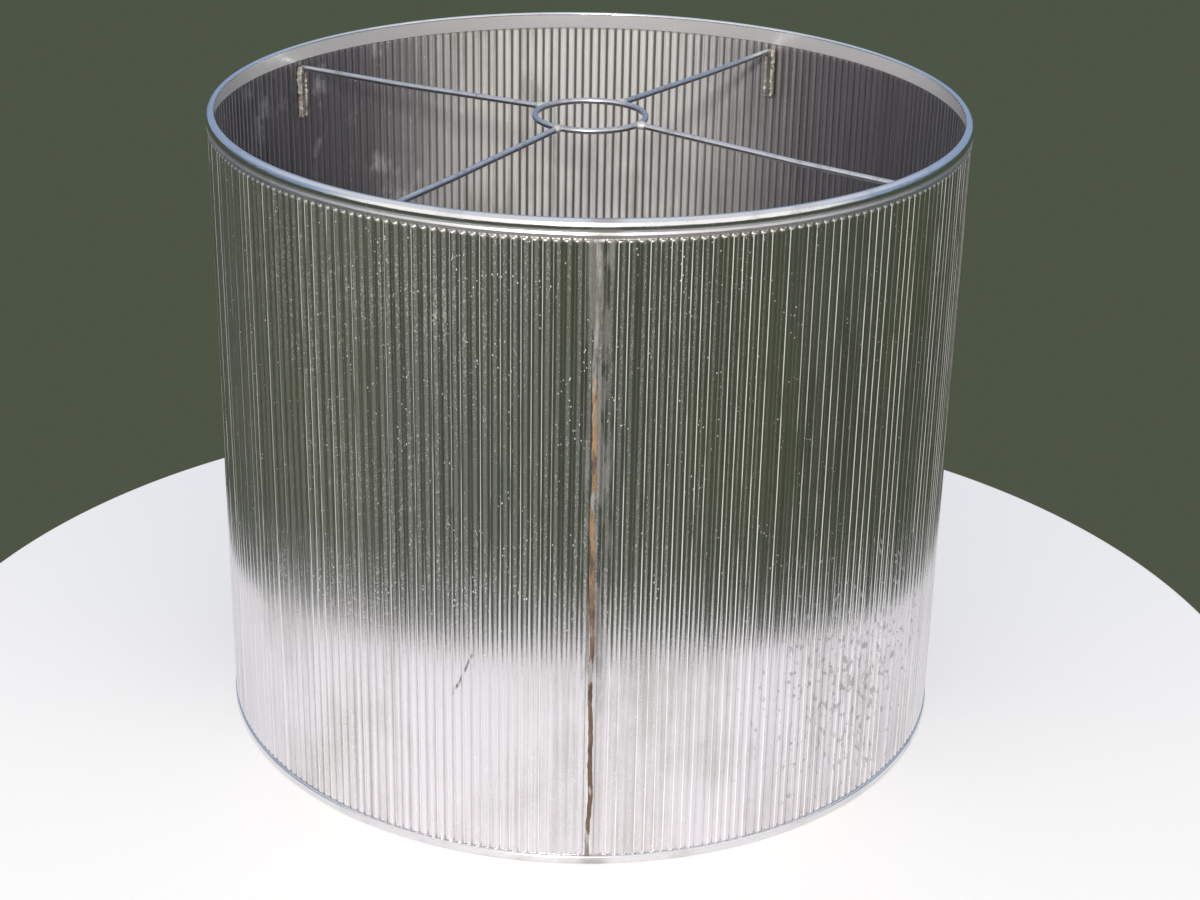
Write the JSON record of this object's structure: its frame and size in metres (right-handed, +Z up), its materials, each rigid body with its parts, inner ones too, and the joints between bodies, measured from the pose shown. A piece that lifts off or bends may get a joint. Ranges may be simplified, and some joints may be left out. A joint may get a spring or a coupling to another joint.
{
  "type": "drum lampshade",
  "caption": "Open-ended drum lampshade of fluted tinned sheet between rolled hoops, with a soldered wire spider and lampholder ring.",
  "frame": {"origin": "middle of the foot, on the surface that the drum stands on", "axes": "+Z up along the drum's axis; the lap seam is on the -Y side"},
  "size_m": [0.3059, 0.306, 0.261],
  "materials": {
    "fluted_tinplate": "bright tinned sheet, spotted and dulled with age",
    "hoop_steel": "rolled bright strip with fine scratches",
    "core_wire": "plain drawn wire",
    "spider_wire": "drawn wire, slightly tarnished",
    "braze": "bright lumpy joint",
    "seam_solder": "grey solder, rust-stained below",
    "leg_solder": "dull lumpy solder with brown flux"
  },
  "bodies": {
    "root": {"bottom_hoop": "hoop_steel", "bottom_hoop_wire": "core_wire", "fluted_wall": "fluted_tinplate", "leg_solder_1": "leg_solder", "leg_solder_2": "leg_solder", "leg_solder_3": "leg_solder", "leg_solder_4": "leg_solder", "rim_solder": "braze", "ring_braze_1": "braze", "ring_braze_2": "braze", "ring_braze_3": "braze", "ring_braze_4": "braze", "seam_solder": "seam_solder", "spider_arm_1": "spider_wire", "spider_arm_2": "spider_wire", "spider_arm_3": "spider_wire", "spider_arm_4": "spider_wire", "spider_ring": "spider_wire", "top_hoop": "hoop_steel", "top_hoop_wire": "core_wire"}
  },
  "joints": []
}
